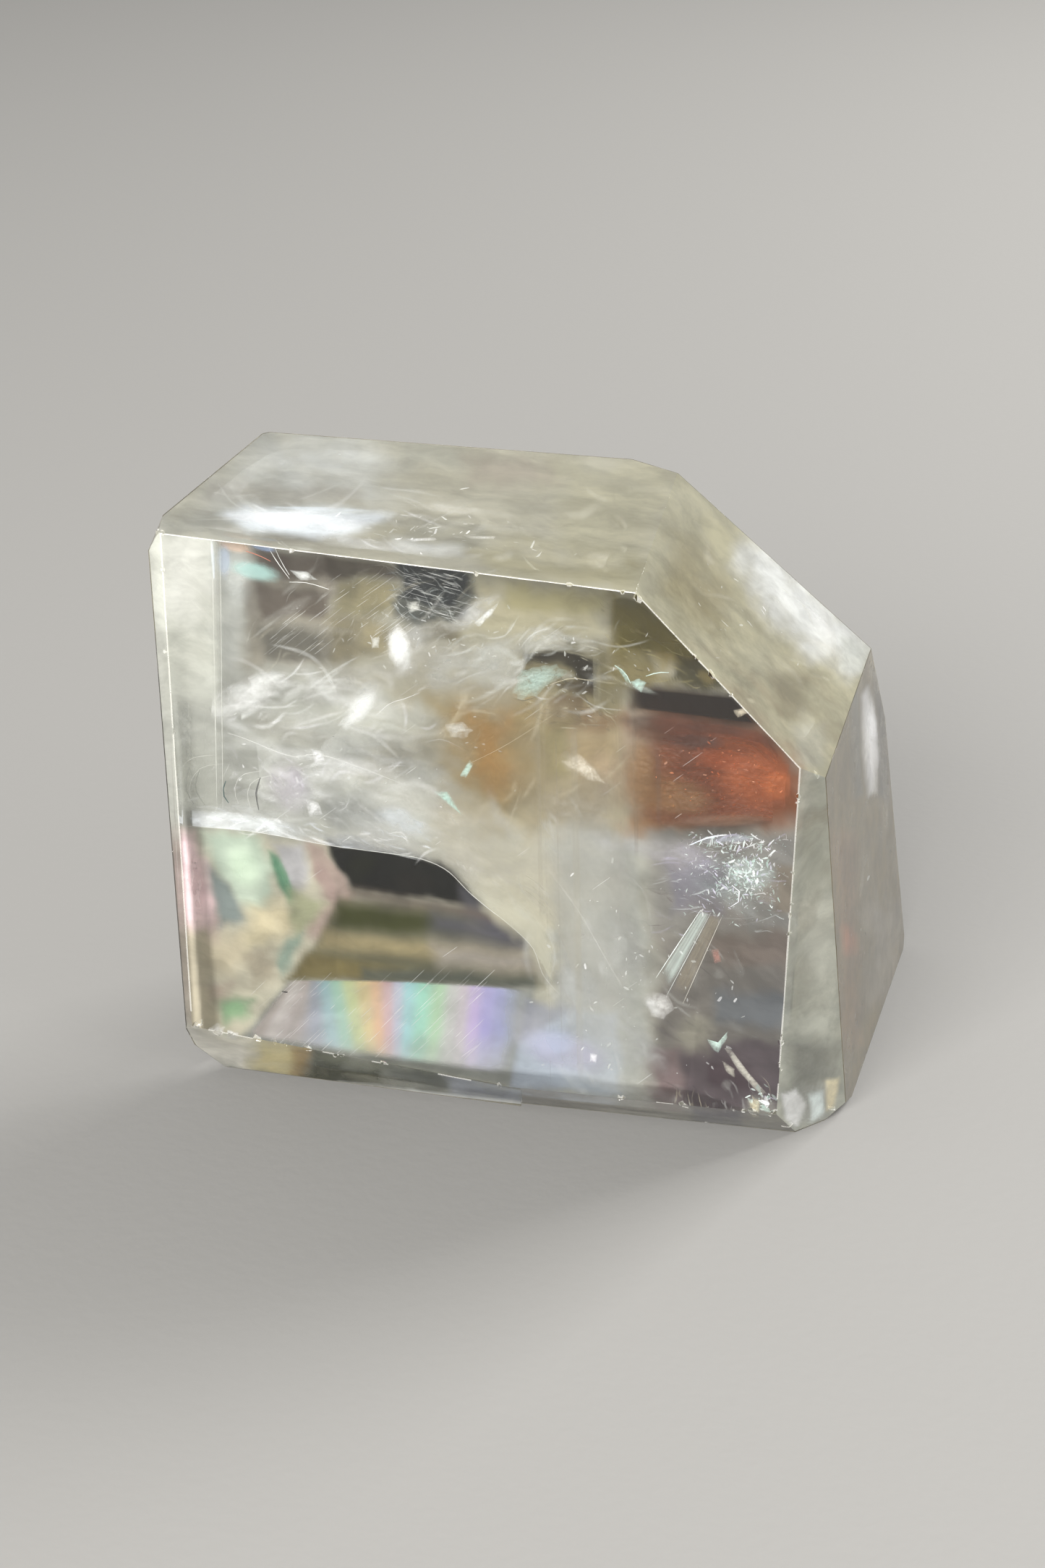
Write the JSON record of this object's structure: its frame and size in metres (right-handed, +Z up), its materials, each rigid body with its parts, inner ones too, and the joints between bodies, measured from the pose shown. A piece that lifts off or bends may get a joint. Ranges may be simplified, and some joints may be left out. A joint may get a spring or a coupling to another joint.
{
  "type": "optical calcite freeform",
  "caption": "Clear polished calcite block with flat free-cut facets, a slanting shoulder, bevelled edges and cloudy veils inside; stands on its sawn base as a mineral display piece.",
  "frame": {"origin": "middle of the stone's box, at the height of its flat base", "axes": "+Z up from the base, X along the long front facet with +X towards the shoulder, the large clear front facet looks along -Y"},
  "size_m": [0.0628, 0.0398, 0.0546],
  "materials": {
    "polished_calcite": "clear, faintly warm calcite with a bright lapidary polish; white healed veils, flakes and iridescent cleavage films inside; small chips along the edges"
  },
  "bodies": {
    "root": {"calcite_freeform": "polished_calcite"}
  },
  "joints": []
}
